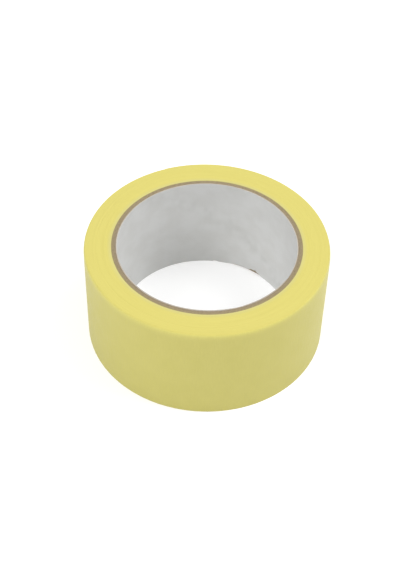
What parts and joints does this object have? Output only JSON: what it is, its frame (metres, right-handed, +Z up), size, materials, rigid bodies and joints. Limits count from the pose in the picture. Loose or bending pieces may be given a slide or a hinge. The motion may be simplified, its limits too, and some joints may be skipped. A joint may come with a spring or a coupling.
{
  "type": "masking tape roll",
  "caption": "Roll of pale yellow crepe masking tape wound on a paperboard core, with a free end that peels off the outside.",
  "frame": {"origin": "centre of the bottom face, on the axis of the bore", "axes": "+Z up along the roll's axis, from the face it rests on to the other face; the free end of the tape is on the +Y side"},
  "size_m": [0.1042, 0.1043, 0.048],
  "materials": {
    "crepe_tape": "pale yellow creped paper, satin",
    "liner_paper": "white paper, matt",
    "kraft_board": "brown kraft paperboard, matt"
  },
  "bodies": {
    "roll": {"core_liner": "liner_paper", "core_ply_1": "kraft_board", "core_ply_2": "kraft_board", "core_ply_3": "kraft_board", "core_ply_4": "kraft_board", "tape_wound_turns": "crepe_tape", "tape_outer_turn": "crepe_tape"},
    "tape_tail_1": {"tape_tail_1": "crepe_tape"},
    "tape_tail_2": {"tape_tail_2": "crepe_tape"},
    "tape_tail_3": {"tape_tail_3": "crepe_tape"},
    "tape_tail_4": {"tape_tail_4": "crepe_tape"},
    "tape_tail_5": {"tape_tail_5": "crepe_tape"},
    "tape_tail_6": {"tape_tail_6": "crepe_tape"}
  },
  "joints": [
    {"name": "tail_peel", "type": "hinge", "parent": "roll", "child": "tape_tail_1", "pos_m": [0.02049, 0.04796, 0.024], "axis": [0, 0, -1], "range_deg": [0, 60]},
    {"name": "tail_bend_1", "type": "hinge", "parent": "tape_tail_1", "child": "tape_tail_2", "pos_m": [0.01389, 0.05027, 0.024], "axis": [0, 0, -1], "range_deg": [0, 18]},
    {"name": "tail_bend_2", "type": "hinge", "parent": "tape_tail_2", "child": "tape_tail_3", "pos_m": [0.00704, 0.05168, 0.024], "axis": [0, 0, -1], "range_deg": [0, 18]},
    {"name": "tail_bend_3", "type": "hinge", "parent": "tape_tail_3", "child": "tape_tail_4", "pos_m": [0.00006, 0.05216, 0.024], "axis": [0, 0, -1], "range_deg": [0, 18]},
    {"name": "tail_bend_4", "type": "hinge", "parent": "tape_tail_4", "child": "tape_tail_5", "pos_m": [-0.00692, 0.0517, 0.024], "axis": [0, 0, -1], "range_deg": [0, 18]},
    {"name": "tail_bend_5", "type": "hinge", "parent": "tape_tail_5", "child": "tape_tail_6", "pos_m": [-0.01377, 0.05031, 0.024], "axis": [0, 0, -1], "range_deg": [0, 18]}
  ],
  "couplings": [
    {"joint": "tail_bend_1", "follows": "tail_peel", "ratio": 0.3},
    {"joint": "tail_bend_2", "follows": "tail_peel", "ratio": 0.3},
    {"joint": "tail_bend_3", "follows": "tail_peel", "ratio": 0.3},
    {"joint": "tail_bend_4", "follows": "tail_peel", "ratio": 0.3},
    {"joint": "tail_bend_5", "follows": "tail_peel", "ratio": 0.3}
  ]
}
